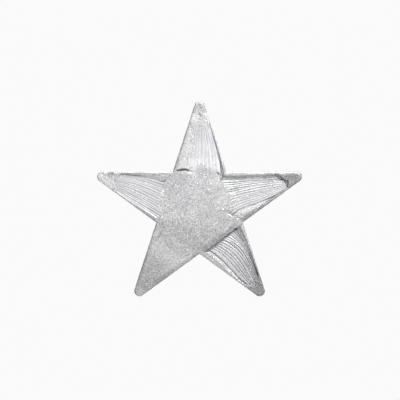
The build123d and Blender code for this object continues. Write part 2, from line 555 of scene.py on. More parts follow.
def make_rim(glitter):
    """The rounded rim as one closed roll along the star's edge."""
    outer, inner, met, slope = rim_stations()
    shares = (1 - np.cos(np.linspace(0, pi, ROLL_POINTS))) / 2
    across = np.linalg.norm(inner - outer, axis=1)
    xz = outer[:, None, :] + (inner - outer)[:, None, :] * shares[None, :, None]
    edge = in_plane(outer[:, 0], outer[:, 1])
    ragged = (0.16 + 0.16 * soft_noise(edge, 1.6 * MM) + 0.1 * soft_noise(edge, 0.7 * MM)) * MM
    outwards = (outer - inner) / across[:, None]
    xz = xz + outwards[:, None, :] * (ragged[:, None] * (1 - shares) ** 2)[:, :, None]
    from_edge = across[:, None] * shares
    to_inside = across[:, None] * (1 - shares)
    inside = mix(rounded(to_inside / INNER_ROUNDING), 1, met[:, None])
    height = ((FACE_Y - RIM_FRONT_Y) * rounded(from_edge / slope[:, None]) * inside).ravel()
    points = in_plane(xz[..., 0], xz[..., 1])
    lumps = 0.06 * soft_noise(points, 7 * MM) + 0.035 * soft_noise(points, 2.2 * MM)
    crust = 0.02 * soft_noise(points, 0.8 * MM)
    from_hole = np.hypot(points[:, 0], points[:, 2] - HOLE_Z)
    sunk = 0.2 * ramp(from_hole, 2.2 * MM, 0.8 * MM)
    points[:, 1] = FACE_Y - height * (0.93 + lumps + crust) * (1 - sunk)
    faces = []
    for row, column in itertools.product(range(len(outer)), range(ROLL_POINTS)):
        here, following = row * ROLL_POINTS, (row + 1) % len(outer) * ROLL_POINTS
        beside = (column + 1) % ROLL_POINTS
        faces.append((following + column, following + beside, here + beside, here + column))
    piece = new_mesh("rim_roll", points, faces)
    point_value(piece, "tone", glitter_tone(points[:, 0], points[:, 2]))
    return finish_piece(piece, [glitter], ["rim"])


# ---- leaves

# How the leaves differ, arm by arm
LEAF_STRANDS = (11, 13, 13, 12, 14)
STRAND_BOWS = (-0.03, 0.05, 0.30, 0.0, -0.02)  # towards the near side, as a share of the leaf's width
FOLD_DEPTHS = (0.45, 0.75, 0.85, 0.35, 0.38)  # in mm
# The fold bottoms' grey on each arm holds pressed fold lines and painted shade in the valleys
FOLD_SHADES = (0.82, 0.66, 0.60, 0.80, 0.84)  # how light a fold's bottom stays
LEAF_GREYS = (0.47, 0.485, 0.425, 0.45, 0.435)
LEAF_STARTS = (33.0, 20.0, 31.0, 26.0, 28.0)  # from the star's centre, in mm
TIP_DARKENING = (0.0, 0.08, 0.2, 0.0, 0.05)  # how much darker the paper gets towards the tip
# Painted shade on the strands at a leaf's near and far side, where the rim shades them
SIDE_PAINTED_SHADES = ((0.05, 0.0), (0.25, 0.0), (0.3, 0.0), (0.0, 0.0), (0.0, 0.12))  # and to its near, far side
GATHERINGS = (0.45, 0.45, 0.2, 0.45, 0.45)  # how much lower the pleats get where they draw together
SIDE_PLEATS = ((0.4, 1.0), (1.0, 0.3), (1.0, 1.0), (1.0, 1.0), (1.0, 1.0))  # pleat height: near, far side
PATCH_MEETS = (38, 28, 0, 40, 38)  # how far out the leaf rises to meet the patch, in mm, and 0 for not
# How high each leaf's near side, far side and end rise, in mm
LEAF_LIFTS = ((1.9, 0.0, 1.95), (0.0, 0.9, 0.0), (0.0, 0.0, 1.2), (1.7, 1.7, 1.7), (0.5, 0.0, 1.0))
BOW_START = 38 * MM  # from the star's centre to where the strands begin to bow
LEAF_ROWS = 150
STRAND_POINTS = 12
LEAF_BASE = 0.4 * MM  # from the underlay to the lowest place of a leaf's front
LEAF_HIGHEST = 2.3 * MM  # how far a leaf's front may stand above that
LEAF_PAPER = 0.28 * MM
UNDERLAY_PAPER = 0.25 * MM
RIM_OVERLAP = 0.9 * MM  # how far the underlay's edge reaches into the rim
# How high the underlay climbs beside the leaf to meet the rim, in mm: near side, far side
UNDERLAY_RISES = ((1.0, 1.7), (0.4, 1.5), (0.9, 0.7), (1.0, 1.0), (1.0, 2.5))
UNDERLAY_ROWS = 90
UNDERLAY_COLUMNS = 61
# The gap beside the patch's loose edge, on the top arm
SLIT_ENDS = (-26.0, -6.5)  # across the arm, in mm
SLIT_U = 35.9 * MM
SLIT_WIDTH = 4.1 * MM


def leaf_side(arm, side, u):
    """A leaf's near or far side at u, kept within its own arm."""
    free = half_width(u) - edge_distance(LEAF_SIDES, arm, side, u) / cos(SIDE_ANGLE)
    return side * np.minimum(free, u * tan(STEP_ANGLE / 2) - 2 * MM)


def slit_width(v):
    """How wide the gap at the top leaf's start is at v."""
    low, high = SLIT_ENDS
    return SLIT_WIDTH * np.sin(pi * np.clip((v / MM - low) / (high - low), 0, 1)) ** 0.8


def strand_edges(strands, dice):
    """Shares across a leaf where its strands begin and end, a little uneven."""
    widths = dice.uniform(0.7, 1.35, strands)
    return np.concatenate([[0], np.cumsum(widths) / widths.sum()])


def arm_sheet(name, arm, u, v, y, thickness, **values):
    """A closed sheet along an arm, from rows of places on its front, with the values for its material."""
    x, z = star_xz(arm, u, v)
    points = np.stack([x.ravel(), y.ravel(), z.ravel()], axis=1)
    piece = closed_sheet(name, points, grid_faces(*u.shape), grid_edge(*u.shape), thickness)
    sheet_values(piece, **values, tone=glitter_tone(points[:, 0], points[:, 2]))
    return piece


def node_reach(arm, node):
    """How far along its arm a CAD node begins and ends."""
    corners = np.array([tuple(vertex.co) for vertex in frame["nodes"][node].data.vertices])
    along = arm_uv(arm, corners[:, 0], corners[:, 2])[0]
    return along.min(), along.max()


def leaf_lift(arm, u, v, begin, end):
    """How far a leaf rises beyond its pleats: along its sides, at its end and to meet the patch."""
    low, high = leaf_side(arm, -1, u), leaf_side(arm, 1, u)
    near_lift, far_lift, end_lift = (value * MM for value in LEAF_LIFTS[arm])
    if ARMS[arm] == "upper_right":
        far_lift = far_lift * ramp(u, 58 * MM, 75 * MM)
    raised = np.maximum.reduce([
        near_lift * ramp(v - low, 6 * MM, 0.5 * MM),
        far_lift * ramp(high - v, 6 * MM, 0.5 * MM),
        end_lift * ramp(u, end - 24 * MM, end),
    ])
    if PATCH_MEETS[arm]:
        meets = PATCH_MEETS[arm] * MM
        raised = np.maximum(raised, 1.5 * MM * ramp(u, meets + 14 * MM, meets))
    if ARMS[arm] == "top":
        raised = np.maximum(raised, 1.2 * MM * ramp(slit_width(v), 0, 2 * MM) * ramp(u - begin, 4 * MM, 0))
    if ARMS[arm] == "lower_left":
        flat = np.stack([u.ravel(), v.ravel(), np.zeros(u.size)], axis=1)
        lumps = 0.10 * soft_noise(flat, 3 * MM) + 0.05 * soft_noise(flat, 1.1 * MM)
        raised = raised + lumps.reshape(u.shape) * MM
    return raised


def leaf_darkening_and_painted_shade(arm, u, shares):
    """How much darker a leaf's paper is made than its own grey: darker towards the tip, and painted shade
    towards its sides.
    """
    near_shade, far_shade = SIDE_PAINTED_SHADES[arm]
    shade = TIP_DARKENING[arm] * ramp(u, 52 * MM, 88 * MM)
    shade = shade + near_shade * ramp(shares, 0.3, 0) + far_shade * ramp(shares, 0.7, 1)
    # Painted shade on the lower right leaf's near strands, close to the centre
    if ARMS[arm] == "lower_right":
        shade = shade + 0.15 * ramp(shares, 0.42, 0.1) * ramp(u, 60 * MM, 46 * MM)
    return shade


def make_leaf(arm, paper):
    """A pleated leaf: strands of uneven width and height that draw together towards the tip."""
    strands = LEAF_STRANDS[arm]
    dice = np.random.default_rng(100 + arm)
    end = node_reach(arm, "leaf_" + ARMS[arm])[1]
    edges = strand_edges(strands, dice)
    local = np.linspace(0, 1, STRAND_POINTS, endpoint=False)
    shares = np.append((edges[:-1, None] + np.diff(edges)[:, None] * local).ravel(), 1.0)
    strand = np.append(np.repeat(np.arange(strands), STRAND_POINTS), strands - 1)
    within = np.append(np.tile(local, strands), 1.0)
    begin = np.full(len(shares), LEAF_STARTS[arm] * MM)
    if ARMS[arm] == "top":
        first_v = mix(leaf_side(arm, -1, BOW_START), leaf_side(arm, 1, BOW_START), shares)
        tucked = 2 * MM * (slit_width(first_v) == 0)
        begin = np.maximum(begin, SLIT_U + slit_width(first_v) - tucked)
    u = begin + (end - begin) * np.linspace(0, 1, LEAF_ROWS)[:, None]
    along = np.clip((u - BOW_START) / (end - BOW_START), 0, 1)
    bow = STRAND_BOWS[arm] * np.sin(0.82 * pi * along)
    wander = 0.012 * np.sin(u / (9 * MM) + strand * 2.1) * np.sin(pi * shares)
    bent = shares - 4 * bow * shares * (1 - shares) + wander
    v = mix(leaf_side(arm, -1, u), leaf_side(arm, 1, u), np.clip(bent, 0, 1))
    seeds = dice.uniform(0, 100, strands)[strand]
    places = np.stack([u.ravel() / MM, np.broadcast_to(seeds, u.shape).ravel(), np.zeros(u.size)], axis=1)
    swell = soft_noise(places, 16.0).reshape(u.shape)
    ridge = np.sin(pi * within) ** 0.75
    second = 0.16 * np.sin(3 * pi * within + seeds) * np.sin(pi * within)
    tall = dice.uniform(0.65, 1.0, strands)[strand] * (1 + 0.25 * swell)
    gather = 1 - GATHERINGS[arm] * ramp(u, 70 * MM, end)
    near_pleats, far_pleats = SIDE_PLEATS[arm]
    level = mix(near_pleats, 1, ramp(shares, 0.3, 0.75)) * mix(1, far_pleats, ramp(shares, 0.8, 0.97))
    pleats = FOLD_DEPTHS[arm] * MM * tall * gather * level * (ridge + second)
    crown = 0.75 * MM * (1 - (2 * shares - 1) ** 2) * (1 - 0.6 * ramp(u, 75 * MM, end))
    if ARMS[arm] == "lower_right":
        crown = crown * ramp(u, 34 * MM, 46 * MM)
        pleats = pleats * mix(0.45, 1, ramp(u, 36 * MM, 44 * MM))
    height = np.minimum(pleats + crown + leaf_lift(arm, u, v, begin, end), LEAF_HIGHEST)
    piece = arm_sheet(
        "pleats_" + ARMS[arm], arm, u, v, UNDERLAY_Y - LEAF_BASE - height, LEAF_PAPER,
        fold=np.broadcast_to(mix(1, ridge, level), u.shape), dust=leaf_dust(arm, u, v),
        dim=leaf_darkening_and_painted_shade(arm, u, shares))
    return finish_piece(piece, [paper], ["leaf_" + ARMS[arm]])


def make_underlay(arm, paper):
    """The plain sheet under a leaf, which climbs beside the leaf to meet the rim."""
    node = "underlay_" + ARMS[arm]
    u = np.linspace(*node_reach(arm, node), UNDERLAY_ROWS)[:, None]
    shares = np.linspace(0, 1, UNDERLAY_COLUMNS)[None, :]
    sides = []
    for side in (-1, 1):
        free = half_width(u) - (edge_distance(RIM_INNER, arm, side, u) - RIM_OVERLAP) / cos(SIDE_ANGLE)
        sides.append(side * np.minimum(free, u * tan(STEP_ANGLE / 2) - 1 * MM))
    v = mix(sides[0], sides[1], shares)
    u = np.broadcast_to(u, v.shape)
    near_rise, far_rise = (value * MM for value in UNDERLAY_RISES[arm])
    near, far = leaf_side(arm, -1, u), leaf_side(arm, 1, u)
    climb = near_rise * np.clip((near - v) / np.maximum(near - sides[0], 1 * MM), 0, 1)
    if ARMS[arm] == "upper_right":
        climb += far_rise * ramp(v - far, -0.5 * MM, 6 * MM)
    else:
        climb += far_rise * np.clip((v - far) / np.maximum(sides[1] - far, 1 * MM), 0, 1)
    stretched = np.stack([u.ravel() * 0.4, v.ravel(), np.full(u.size, arm * 0.1)], axis=1)
    waves = 0.06 * MM * (soft_noise(stretched, 4 * MM) + 1).reshape(v.shape) * ramp(climb, 0, 0.5 * MM)
    front = UNDERLAY_Y - climb - waves
    piece = arm_sheet("sheet_" + ARMS[arm], arm, u, v, front, UNDERLAY_PAPER, dust=beside_leaf(arm, u, v))
    return finish_piece(piece, [paper], [node])


# ---- where glitter lies

def leaf_dust(arm, u, v):
    """How thickly glitter lies on an arm's leaf, from 0 to 1: the thickest of its dustings."""
    name = ARMS[arm]
    u, v = u / MM, v / MM
    if name == "top":
        wave = -12 + 1.5 * np.sin(u / 4) + 0.36 * (u - 45)
        middle = 0.85 * ramp(u, 51, 38) * ramp(v, 20, 4)
        dustings = ramp(v, wave + 4, wave - 3), ramp(u, 76, 84), middle, 0.03
    elif name == "upper_right":
        dustings = ramp(u + 0.5 * v, 50, 29), ramp(u, 89, 92), 0.10
    elif name == "lower_right":
        dustings = ramp(u, 85, 94), 0.12
    elif name == "lower_left":
        dustings = (1.0,)
    else:
        dustings = ramp(u, 44, 35), ramp(u, 89, 93), 0.08
    return np.maximum.reduce(np.broadcast_arrays(0 * u, *dustings))


def beside_leaf(arm, u, v):
    """How thickly glitter lies on the underlay beside a leaf: well at the upper right arm's far side."""
    centre = ramp(u, 66 * MM, 46 * MM)
    if ARMS[arm] == "upper_right":
        return np.clip(centre * ramp(v, 0, 3 * MM) + 0.12 + 0.3 * ramp(abs(v), 0, 3 * MM), 0, 1)
    if ARMS[arm] == "lower_right":
        return 0.15 * centre + 0.12 + 0 * v
    return 0.35 * centre + 0.15 + 0 * v


def arm_tone(name, u, v, to_edge):
    """How much lighter or darker an arm's glitter is than the patch's, much of it painted shade and painted
    light on the rim's slopes, in the grooves and at the tips. All places are in mm.
    """
    near, far = v < 0, v > 0
    near_rim = ramp(to_edge, 5, 3) * near
    far_rim = ramp(to_edge, 4, 2.5) * far
    if name == "top":
        # Painted shade round the hanging hole, so that it looks dark
        hole_painted_shade = ramp(np.hypot(u - HOLE_U / MM, v), 2.4, 1.6)
        # Painted shade on the tip and beside the patch, where the light catches them, and on the near rim's
        # slope, which faces away from it
        tip = (0.3 + 0.4 * ramp(v, -1, 3)) * ramp(u, 95, 101)
        dusted = 0.2 * ramp(v, 0, -3) * ramp(u, 46, 56) + 0.2 * ramp(u, 85, 90) * ramp(u, 98, 94)
        patch_side_painted_shade = 0.35 * ramp(u, 48, 42) * ramp(v, -6, 0)
        return -0.6 * hole_painted_shade - tip - 0.25 * near_rim * ramp(u, 84, 74) + dusted - patch_side_painted_shade
    if name == "upper_right":
        cap_start = mix(79, 88.5, ramp(v, -3, 2))
        cap_side = -8.4 + 0.4 * (u - 85)
        cap = ramp(u - cap_start, 0, 4) * ramp(v - cap_side, -1, 1.2) * mix(0.4, 1, ramp(u, 105, 98))
        # Painted shadow in the groove under the near rim, and painted shade on the far rim's downward slope
        groove_painted_shadow = ramp(to_edge, 4.5, 5.5) * ramp(to_edge, 10, 8) * near * ramp(u, 86, 82)
        lower_rim_painted_shade = ramp(to_edge, 4.5, 3) * far * ramp(u, 94, 84)
        change = 0.1 - 1.15 * cap - 0.5 * groove_painted_shadow - 0.8 * lower_rim_painted_shade
        # Painted shade on the near rim and the tip where the light catches them, and beside the patch
        change = change - 0.55 * near_rim * ramp(u, 88, 98) - 0.3 * ramp(u, 97, 102)
        patch_side_painted_shade = ramp(v, 6, 10) * ramp(u, 64, 52)
        patch_side_painted_shade = patch_side_painted_shade + ramp(u, 48, 38) * ramp(v, -3, -8) * ramp(to_edge, 6, 8)
        return change - 0.4 * patch_side_painted_shade
    if name == "lower_right":
        # Painted shade along the near rim, and at its outer edge before the tip
        outermost = ramp(to_edge, 2.4, 1.4) * near * ramp(u, 78, 84)
        change = -0.2 * ramp(u, 40, 55) - 0.7 * ramp(u, 84, 97) - 0.5 * ramp(u, 96, 102)
        change = change + 0.15 * far_rim * ramp(u, 96, 86)
        return change - 0.45 * near_rim * ramp(u, 60, 72) - 0.4 * outermost
    if name == "lower_left":
        # Painted shade in the crease and on the near rim's downward slope
        crease_painted_shade = ramp(abs(v - 17), 2.4, 0.8) * ramp(u, 31, 37) * ramp(u, 56, 48)
        change = 0.02 - 0.75 * ramp(u, 50, 82) + 0.35 * ramp(u, 94, 102) - 0.5 * crease_painted_shade
        return change - 0.45 * near_rim * ramp(u, 90, 78) - 0.15 * far_rim * ramp(u, 52, 44)
    # On the upper left arm: painted shade on the near rim's downward slope near the centre
    near_change = 0.4 * ramp(u, 62, 78) - 0.3 * ramp(u, 66, 50) + 0.25 * ramp(u, 86, 94)
    change = near_change * near_rim - 0.15 * far_rim * ramp(u, 84, 94)
    change = change - 0.5 * ramp(v, 2, 5) * ramp(u, 87, 92) * ramp(u, 102, 96)
    return change + 0.45 * ramp(v, 4, 1) * ramp(u, 84, 92)


def patch_edge_painted_shade(name, u, v):
    """How much darker the glitter is painted where the patch ends on an arm: painted shadow at its raised
    edge on the lower right arm, and painted shade along its lit edge on the upper right arm. Places are in
    mm.
    """
    if name == "upper_right":
        from_edge = np.abs(0.74 * (u - 24) - 0.67 * (v - 9.5))
        return 0.45 * ramp(from_edge, 2.4, 0.8) * ramp(v, 5, 9)
    if name == "lower_right":
        return 0.45 * ramp(u, 31, 34.5) * ramp(u, 40, 38) * ramp(np.abs(v), 24, 19)
    return 0


def glitter_tone(x, z):
    """How light the glitter is at each place, from -1, darkest, to 1: painted light and shade arm by arm,
    darker towards the bottom of the middle, and a soft random drift.
    """
    tone = np.zeros(len(x))
    nearest = nearest_arm(x, z)
    for arm, name in enumerate(ARMS):
        u, v = (value / MM for value in arm_uv(arm, x, z))
        to_edge = (half_width(u * MM) / MM - np.abs(v)) * cos(SIDE_ANGLE)
        change = arm_tone(name, u, v, to_edge) * ramp(u, 26, 44) - patch_edge_painted_shade(name, u, v)
        tone = np.where(nearest == arm, change, tone)
    drop = (CENTRE_Z - z) / MM
    radius = np.hypot(x, z - CENTRE_Z) / MM
    tone = tone - 0.32 * ramp(drop, 6, 30) * ramp(radius, 56, 42)
    return tone + 0.13 * soft_noise(in_plane(x, z), 5 * MM)


# ---- centre patch

# The glitter patch's outline round the star's centre, clockwise from its top left, as (X, Z) in mm
PATCH_OUTLINE = (
    (-29.0, 33.0), (-26.5, 35.4), (-21.0, 37.0), (-15.5, 37.8), (-10.0, 37.2), (-6.0, 36.8),
    (3.0, 39.0), (12.0, 38.5), (20.0, 33.5), (22.0, 24.0), (20.5, 12.0), (23.0, 1.0), (31.0, -6.5),
    (43.0, -11.5), (44.5, -14.0), (37.5, -18.8), (31.5, -22.8), (23.5, -29.1), (16.8, -34.3),
    (11.5, -38.5), (5.0, -43.5), (1.0, -44.5), (-12.0, -39.0), (-25.0, -31.0), (-37.0, -21.0),
    (-41.5, -14.0), (-39.0, -6.0), (-39.5, 4.0), (-37.5, 15.0), (-36.0, 25.0),
)
PATCH_STEPS = 480  # points round the patch
PATCH_RINGS = 75
PATCH_PAPER = 0.35 * MM


def patch_edge(steps):
    """The patch's outline as evenly spaced points, rounded and a little ragged."""
    corners = np.array(PATCH_OUTLINE) * MM
    looped = np.vstack([corners, corners[:1]])
    lengths = np.concatenate([[0], np.cumsum(np.linalg.norm(np.diff(looped, axis=0), axis=1))])
    where = np.linspace(0, lengths[-1], steps, endpoint=False)
    points = np.stack([np.interp(where, lengths, looped[:, axis]) for axis in (0, 1)], axis=1)
    weights = np.hanning(15)[1:-1]  # rounds the corners off over this many points
    weights /= weights.sum()
    reach = len(weights) // 2
    padded = np.vstack([points[-reach:], points, points[:reach]])
    points = np.stack([np.convolve(padded[:, axis], weights, mode="valid") for axis in (0, 1)], axis=1)
    flat = in_plane(points[:, 0], points[:, 1])
    ragged = 1 + 0.014 * soft_noise(flat, 4 * MM) + 0.012 * soft_noise(flat, 1.3 * MM)
    return points * ragged[:, None]


def patch_lift(angle):
    """How the patch's edge stands, in mm, clockwise from the top: up at its loose edge, else down."""
    turn = np.degrees(angle) % 360
    loose = np.exp(-((turn - 337) / 12) ** 2)
    proud = np.exp(-((turn - 137) / 26) ** 2)
    return -0.45 + 1.15 * loose + 1.6 * proud


def make_patch(glitter):
    """The glitter paper over the star's middle, crusted, with a loose edge at its upper left."""
    steps = np.arange(PATCH_STEPS)
    beside = (steps + 1) % PATCH_STEPS
    shares = (np.arange(1, PATCH_RINGS + 1) / PATCH_RINGS) ** 0.85
    xz = np.vstack([[[0, 0]], (shares[:, None, None] * patch_edge(PATCH_STEPS)[None]).reshape(-1, 2)])
    from_middle = np.append(0, np.repeat(shares, PATCH_STEPS))
    flat = in_plane(xz[:, 0], xz[:, 1])
    lift = patch_lift(np.arctan2(xz[:, 0], xz[:, 1])) * ramp(from_middle, 0.62, 1.0)
    swell = 0.16 * soft_noise(flat, 11 * MM) + 0.06 * soft_noise(flat, 3 * MM)
    swell = swell + 0.03 * soft_noise(flat, 0.9 * MM)
    droop = 0.35 * ramp(from_middle, 0.9, 1.0)
    height = (0.45 + lift + swell - droop) * MM
    points = np.stack([xz[:, 0], PATCH_BACK_Y - height, CENTRE_Z + xz[:, 1]], axis=1)
    faces = [(0, 1 + second, 1 + first) for first, second in zip(steps, beside)]
    for inner in range(1, len(xz) - PATCH_STEPS, PATCH_STEPS):
        outer = inner + PATCH_STEPS
        faces += [
            (inner + first, inner + second, outer + second, outer + first)
            for first, second in zip(steps, beside)]
    outermost = (len(xz) - PATCH_STEPS + steps)[::-1]
    piece = closed_sheet("patch_sheet", points, faces, outermost.tolist(), PATCH_PAPER)
    sheet_values(piece, tone=glitter_tone(points[:, 0], points[:, 2]))
    return finish_piece(piece, [glitter], ["centre_patch"])


# ---- glitter flakes

FOIL_GREYS = (0.22, 0.30, 0.37, 0.44, 0.52, 0.62)
MIDDLE_FOIL = 3.45  # the shade, counted along FOIL_GREYS, of glitter whose tone is 0
FOILS_PER_TONE = 2.6
FLAKE_SIDES = 6
BEDDING = 0.28 * MM  # how deep a flake's point reaches below it
# How far a face's normal leans backwards, as its Y: flakes lie on faces below the first number, and only
# those on faces below the second are checked for what covers them
LAID_BELOW = 0.25
CHECKED_BELOW = -0.3


def surface_spots(piece, per_mm2, dice):
    """Random places on a piece's faces that look to the front, with the faces' normals."""
    _, (a, b, c) = mesh_arrays(piece.data)
    normal = np.cross(b - a, c - a)
    area = np.linalg.norm(normal, axis=1)
    normal /= np.maximum(area, 1e-15)[:, None]
    area = np.where(normal[:, 1] < LAID_BELOW, area / 2, 0)
    count = int(area.sum() / MM ** 2 * per_mm2)
    chosen = dice.choice(len(area), count, p=area / area.sum())
    first, second = dice.random(count), dice.random(count)
    over = first + second > 1
    first[over], second[over] = 1 - first[over], 1 - second[over]
    spots = a[chosen] + (b - a)[chosen] * first[:, None] + (c - a)[chosen] * second[:, None]
    return spots, normal[chosen]


def seen_from_front(spots, normals, tree):
    """Which spots no other piece covers. Spots that hardly face the front are left in."""
    seen = np.ones(len(spots), bool)
    for index in np.flatnonzero(normals[:, 1] <= CHECKED_BELOW):
        start = Vector(spots[index] + normals[index] * 0.3 * MM)
        seen[index] = tree.ray_cast(start, Vector((0, -1, 0)), 10 * MM)[0] is None
    return seen


def outside_slit(x, z):
    """1 where glitter may lie on the face paper, and 0 in the gap beside the patch's loose edge."""
    u, v = arm_uv(0, x, z)
    return np.where((slit_width(v) > 0) & (u > 30 * MM) & (u < 42 * MM), 0.0, 1.0)


def flake_calm(spots):
    """How unevenly flakes lie, as a share of the usual: less on the top arm and the upper right tip."""
    on_top, on_upper_right = (arm_uv(arm, spots[:, 0], spots[:, 2])[0] for arm in (0, 1))
    calm = 1 - 0.25 * ramp(on_top, 38 * MM, 46 * MM) - 0.25 * ramp(on_top, 76 * MM, 86 * MM)
    return calm - 0.45 * ramp(on_upper_right, 82 * MM, 88 * MM)


def flake_mesh(name, spots, normals, sizes, dice, foils, spread):
    """Flat six-sided flakes, each with a point below that is bedded in the glue."""
    count = len(spots)
    calm = flake_calm(spots)
    tilted = normals + dice.normal(0, sizes.flake_tilt, (count, 3)) * calm[:, None]
    tilted /= np.linalg.norm(tilted, axis=1)[:, None]
    side = np.cross(tilted, dice.normal(0, 1, (count, 3)))
    side /= np.linalg.norm(side, axis=1)[:, None]
    other = np.cross(tilted, side)
    radius = sizes.flake_size / 2 * dice.uniform(0.65, 1.3, count)[:, None]
    centre = spots + normals * 0.10 * MM
    turns = np.linspace(0, 2 * pi, FLAKE_SIDES, endpoint=False)
    corners = [centre + radius * (cos(turn) * side + sin(turn) * other) for turn in turns]
    corners.append(centre - tilted * BEDDING)
    points = np.stack(corners, axis=1).reshape(-1, 3)
    faces = []
    for first in range(0, len(points), FLAKE_SIDES + 1):
        faces.append(tuple(range(first, first + FLAKE_SIDES)))
        for step in range(FLAKE_SIDES):
            faces.append((first + (step + 1) % FLAKE_SIDES, first + step, first + FLAKE_SIDES))
    piece = new_mesh(name, points, faces, smooth=False)
    tone = glitter_tone(spots[:, 0], spots[:, 2])
    # Each flake's foil follows the glitter's tone, so the painted light and shade reach the flakes too
    shade = MIDDLE_FOIL + FOILS_PER_TONE * tone + calm * dice.normal(0, spread, count)
    shade = np.clip(np.round(shade), 0, len(foils) - 1).astype(int)
    piece.data.polygons.foreach_set("material_index", np.repeat(shade, FLAKE_SIDES + 1))
    return finish_piece(piece, foils)


def covering_tree(pieces):
    """One search tree of all the given pieces, for finding what covers what."""
    points, faces = [], []
    for piece in pieces:
        first = len(points)
        points += [vertex.co[:] for vertex in piece.data.vertices]
        faces += [tuple(first + index for index in polygon.vertices) for polygon in piece.data.polygons]
    return BVHTree.FromPolygons(points, faces)


def scatter(name, piece, thickness, cover, sizes, foils, seed, spread=0.95):
    """Glitter on one piece. thickness says how likely a flake is at each place, from 0 to 1."""
    dice = np.random.default_rng(seed)
    spots, normals = surface_spots(piece, sizes.flakes_per_mm2, dice)
    kept = dice.random(len(spots)) < thickness(spots[:, 0], spots[:, 2])
    spots, normals = spots[kept], normals[kept]
    seen = seen_from_front(spots, normals, cover)
    return flake_mesh(name, spots[seen], normals[seen], sizes, dice, foils, spread)


# ---- settings and operators

def share_setting(name, description, default):
    return bpy.props.FloatProperty(
        name=name, description=description, default=default, subtype="FACTOR", min=0, max=1)


def length_setting(name, description, default):
    return bpy.props.FloatProperty(
        name=name, description=description, default=default, unit="LENGTH", precision=5)


class PAPERSTAR_PG_sizes(bpy.types.PropertyGroup):
    """Sizes that a user would change."""
    flake_size: length_setting("Flake size", "Across one glitter flake", 0.75 * MM)
    flake_tilt: share_setting("Flake tilt", "How unevenly the flakes lie", 0.17)
    flakes_per_mm2: bpy.props.FloatProperty(
        name="Flakes per mm2", description="Glitter flakes on a square millimetre",
        default=2.2, min=0, max=4)
    grain: length_setting("Paper grain", "Across one grain of the glitter paper", 0.8 * MM)


class PAPERSTAR_PG_colours(bpy.types.PropertyGroup):
    """Greys that a user would change."""
    glitter_light: share_setting("Light glitter", "Grey of the lightest grains", 0.60)
    glitter_dark: share_setting("Dark glitter", "Grey of the darkest grains", 0.30)
    underlay: share_setting("Underlay", "Grey of the sheets under the leaves", 0.52)
    lining: share_setting("Lining", "Grey of the back's lining", 0.84)


def dress_node(node, material):
    """Gives a carried-over piece its finish in every slot that it has."""
    mesh = frame["nodes"][node].data
    if not mesh.materials:
        mesh.materials.append(material)
    for index in range(len(mesh.materials)):
        mesh.materials[index] = material


def glitter_material(scene):
    """The glitter paper that the face, the rim and the patch share."""
    sizes, colours = scene.paperstar_sizes, scene.paperstar_colours
    known = bpy.data.materials.get("glitter_crust")
    return known or glitter_paper("glitter_crust", colours.glitter_light, colours.glitter_dark, sizes.grain)


class PAPERSTAR_OT_board(bpy.types.Operator):
    """Dress the card, its face and back papers and the pad"""
    bl_idname = "paperstar.board"
    bl_label = "Dress the card and papers"

    def execute(self, context):
        dress_node("star_card", board("grey_board"))
        dress_node("face_paper", glitter_material(context.scene))
        dress_node("back_paper", lining_paper("lining", context.scene.paperstar_colours.lining))
        dress_node("centre_pad", wadding("wadding"))
        return {"FINISHED"}


class PAPERSTAR_OT_underlays(bpy.types.Operator):
    """Make the plain sheets under the leaves"""
    bl_idname = "paperstar.underlays"
    bl_label = "Make the underlays"

    def execute(self, context):
        grey = context.scene.paperstar_colours.underlay
        for arm, name in enumerate(ARMS):
            make_underlay(arm, plain_paper("underlay_" + name, arm, grey))
        return {"FINISHED"}


class PAPERSTAR_OT_rim(bpy.types.Operator):
    """Make the rounded rim"""
    bl_idname = "paperstar.rim"
    bl_label = "Make the rim"

    def execute(self, context):
        make_rim(glitter_material(context.scene))
        return {"FINISHED"}


class PAPERSTAR_OT_leaves(bpy.types.Operator):
    """Make the five pleated leaves"""
    bl_idname = "paperstar.leaves"
    bl_label = "Make the leaves"

    def execute(self, context):
        for arm, name in enumerate(ARMS):
            make_leaf(arm, pleat_paper("pleats_" + name, arm, LEAF_GREYS[arm], FOLD_SHADES[arm]))
        return {"FINISHED"}


class PAPERSTAR_OT_patch(bpy.types.Operator):
    """Make the glitter patch over the middle"""
    bl_idname = "paperstar.patch"
    bl_label = "Make the patch"

    def execute(self, context):
        make_patch(glitter_material(context.scene))
        return {"FINISHED"}


class PAPERSTAR_OT_glitter(bpy.types.Operator):
    """Scatter the glitter flakes over the rim, the patch, the leaves and the papers"""
    bl_idname = "paperstar.glitter"
    bl_label = "Scatter the glitter"

    def execute(self, context):
        sizes = context.scene.paperstar_sizes
        foils = [flake_foil(f"foil_{index}", grey) for index, grey in enumerate(FOIL_GREYS)]
        leaves = [bpy.data.objects["pleats_" + name] for name in ARMS]
        underlays = [bpy.data.objects["sheet_" + name] for name in ARMS]
        rim, patch = bpy.data.objects["rim_roll"], bpy.data.objects["patch_sheet"]

        everywhere = lambda x, z: np.ones(len(x))
        cover = covering_tree([rim, patch] + leaves)
        scatter("glitter_on_rim", rim, everywhere, cover, sizes, foils, 1)
        scatter("glitter_on_patch", patch, everywhere, cover, sizes, foils, 2, spread=1.25)
        for arm, name in enumerate(ARMS):
            on_leaf = lambda x, z: leaf_dust(arm, *arm_uv(arm, x, z)) ** 1.5
            scatter("glitter_on_leaf_" + name, leaves[arm], on_leaf, cover, sizes, foils, 10 + arm)
            beside = lambda x, z: beside_leaf(arm, *arm_uv(arm, x, z)) * outside_slit(x, z)
            scatter("glitter_beside_leaf_" + name, underlays[arm], beside, cover, sizes, foils, 20 + arm)
        cover = covering_tree([rim, patch] + leaves + underlays)
        scatter("glitter_on_face", frame["nodes"]["face_paper"], outside_slit, cover, sizes, foils, 30)
        return {"FINISHED"}


